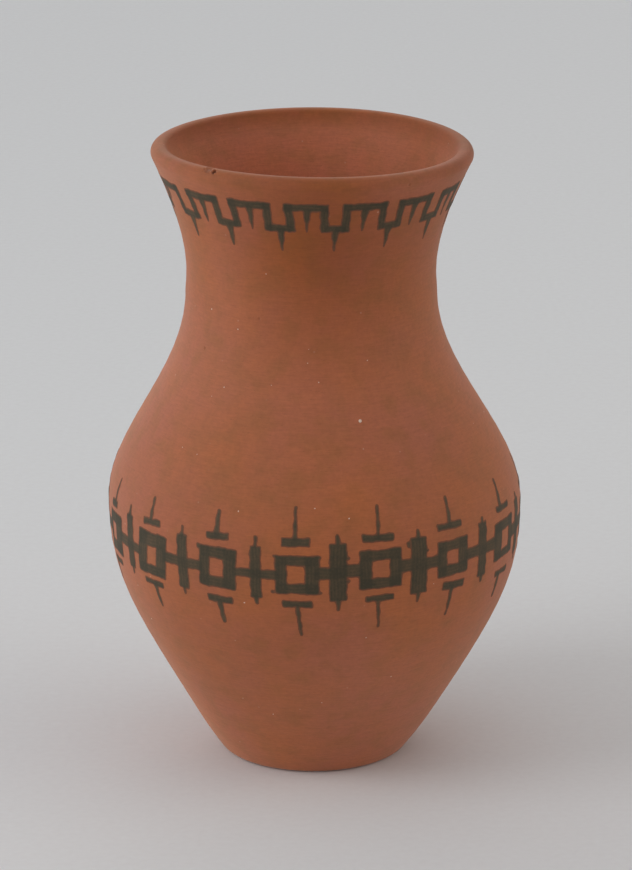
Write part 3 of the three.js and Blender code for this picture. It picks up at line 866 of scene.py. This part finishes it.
def layPaper():
    look = paperLook
    material, tree, place = newMaterial("seamlessPaper")
    run = addNode(tree, "ShaderNodeVectorMath", {"operation": "DOT_PRODUCT", 0: place, 1: look["shadeWay"]})
    share = mapRange(tree, run.outputs["Value"], *look["shadeRun"], way="SMOOTHSTEP")
    mottled = calculate(tree, "MULTIPLY_ADD", addNoise(tree, place, look["pulp"], 3.0), 0.5, share)
    bump = addBump(tree, addNoise(tree, place, look["tooth"]), look["toothHeight"])
    tone = mixColours(tree, mottled, look["colour"], look["shade"])
    finishMaterial(tree, look, {"Base Color": tone, "Normal": bump})
    deselectAll()
    bpy.ops.mesh.primitive_grid_add(x_subdivisions=12, y_subdivisions=12, size=look["size"], location=(0, 0, 0))
    paper = bpy.context.object
    paper.name = paper.data.name = "paper"
    paper.data.materials.append(material)


layPaper()

# Soft studio light: a large lamp on the left, a larger one on the right and one behind for the paper,
# in a room that a window on the left lights
studio = {  # each lamp's place, width, power and colour
    "key": ((-1.5, -0.6, 1.3), 1.2, 7.6, "#ffffff"),
    "fill": ((2.1, -0.2, 0.5), 2.4, 19.1, "#fff3e4"),
    "wall": ((0, 4.5, 3.0), 4.0, 24.2, "#ffffff"),
    "aim": (0, 0, 0.11),
    "window": 4.455, "windowFall": 3.0, "ceiling": 0.717, "backdrop": "#c3c4c6",
}


def hangLamp(name):
    place, size, power, colour = studio[name]
    deselectAll()
    bpy.ops.object.light_add(type="AREA", location=place)
    lamp = bpy.context.object
    lamp.name = name
    lamp.data.shape, lamp.data.size, lamp.data.energy = "DISK", size, power
    lamp.data.color = srgb(colour)[:3]
    x, y, z = (a - b for a, b in zip(studio["aim"], place))
    lamp.rotation_euler = (math.atan2(math.hypot(x, y), -z), 0, math.atan2(y, x) - math.pi / 2)


for lampName in ("key", "fill", "wall"):
    hangLamp(lampName)


def lightRoom():
    # the window's light comes in low from -X and the ceiling's from above, but the camera and every gloss see a
    # plain backdrop
    room = bpy.data.worlds.new("room")
    bpy.context.scene.world = room
    room.use_nodes = True
    tree = room.node_tree
    tree.nodes.clear()
    heading = addNode(tree, "ShaderNodeTexCoord").outputs["Generated"]
    way = addNode(tree, "ShaderNodeSeparateXYZ", {"Vector": heading}).outputs
    low = calculate(tree, "SUBTRACT", 1.0, way["Z"], clamp=True)
    left = calculate(tree, "MULTIPLY", way["X"], -1.0, clamp=True)
    pane = calculate(tree, "MULTIPLY", calculate(tree, "POWER", low, studio["windowFall"]), left)
    window = calculate(tree, "MULTIPLY", pane, studio["window"])
    above = calculate(tree, "MULTIPLY_ADD", way["Z"], studio["ceiling"], window)
    light = addNode(tree, "ShaderNodeBackground", {"Strength": above}).outputs[0]
    backdrop = addNode(tree, "ShaderNodeBackground", {"Color": srgb(studio["backdrop"])}).outputs[0]
    ray = addNode(tree, "ShaderNodeLightPath").outputs
    mirrored = calculate(tree, "MAXIMUM", ray["Is Glossy Ray"], ray["Is Transmission Ray"])
    seen = calculate(tree, "MAXIMUM", ray["Is Camera Ray"], mirrored)
    shown = addNode(tree, "ShaderNodeMixShader", {0: seen, 1: light, 2: backdrop})
    addNode(tree, "ShaderNodeOutputWorld", {"Surface": shown.outputs[0]})


lightRoom()
print("paper, lamps and room")

# The photograph's view: from 1.75 m away and 17.5 degrees above the vessel's middle, through a long lens
view = {
    "place": (0, -1.66794, 0.640558), "down": 17.2,  # metres, and degrees of tilt
    "lens": 196.9, "film": 36, "shift": (0.0015, -0.0142),
}
bpy.ops.object.camera_add(location=view["place"], rotation=(math.radians(90 - view["down"]), 0, 0))
camera = bpy.context.object
camera.data.lens, camera.data.sensor_width = view["lens"], view["film"]
camera.data.shift_x, camera.data.shift_y = view["shift"]
bpy.context.scene.camera = camera
bpy.context.scene.view_settings.view_transform = "Standard"
